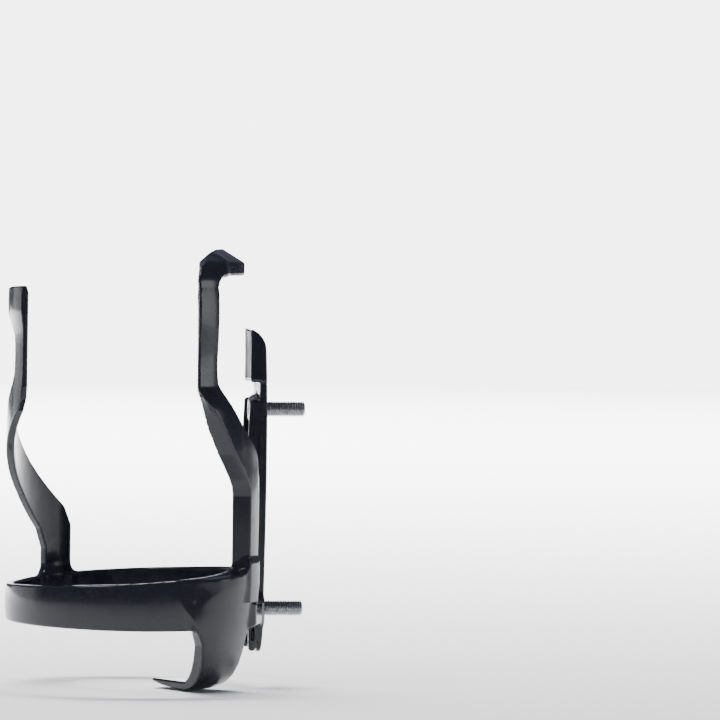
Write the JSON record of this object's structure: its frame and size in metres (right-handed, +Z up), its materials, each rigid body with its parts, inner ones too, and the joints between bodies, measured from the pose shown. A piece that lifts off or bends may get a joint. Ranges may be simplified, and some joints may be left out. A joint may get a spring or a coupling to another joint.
{
  "type": "water bottle cage",
  "caption": "Side-loading bicycle bottle cage: a band, a foot and two sprung arms hold the bottle against a slotted plate that bolts to the frame.",
  "frame": {"origin": "midway between the two frame bolts, on the face that bears on the bicycle frame", "axes": "+Y out of the back of the cage into the bicycle frame, +Z up along the bottle, +X to the side the bottle is loaded from"},
  "size_m": [0.08, 0.0955, 0.1398],
  "materials": {
    "cage_nylon": "gloss black moulded nylon",
    "bolt_steel": "bright stainless steel",
    "washer_steel": "flat stainless steel washer"
  },
  "bodies": {
    "frame": {"cage_frame": "cage_nylon"},
    "near_arm": {"near_arm": "cage_nylon"},
    "far_arm": {"far_arm": "cage_nylon"},
    "upper_washer": {"upper_washer": "washer_steel"},
    "upper_bolt": {"upper_bolt": "bolt_steel"},
    "lower_washer": {"lower_washer": "washer_steel"},
    "lower_bolt": {"lower_bolt": "bolt_steel"}
  },
  "joints": [
    {"name": "near_arm_flex", "type": "hinge", "parent": "frame", "child": "near_arm", "pos_m": [0.02165, -0.0047, -0.0185], "axis": [-0.866, 0.5, 0], "range_deg": [0, 6], "stiffness_Nm_per_rad": 6},
    {"name": "far_arm_flex", "type": "hinge", "parent": "frame", "child": "far_arm", "pos_m": [-0.02246, -0.07427, -0.0215], "axis": [0.8192, -0.5736, 0], "range_deg": [0, 6], "stiffness_Nm_per_rad": 6},
    {"name": "upper_bolt_adjust", "type": "slide", "parent": "frame", "child": "upper_washer", "axis": [0, 0, 1], "range_m": [-0.0032, 0.0032]},
    {"name": "upper_bolt_turn", "type": "hinge", "parent": "upper_washer", "child": "upper_bolt", "pos_m": [0, 0, 0.032], "axis": [0, 1, 0], "continuous": true},
    {"name": "lower_bolt_adjust", "type": "slide", "parent": "frame", "child": "lower_washer", "axis": [0, 0, 1], "range_m": [-0.0032, 0.0032]},
    {"name": "lower_bolt_turn", "type": "hinge", "parent": "lower_washer", "child": "lower_bolt", "pos_m": [0, 0, -0.032], "axis": [0, 1, 0], "continuous": true}
  ],
  "couplings": [
    {"joint": "lower_bolt_adjust", "follows": "upper_bolt_adjust", "ratio": 1}
  ]
}
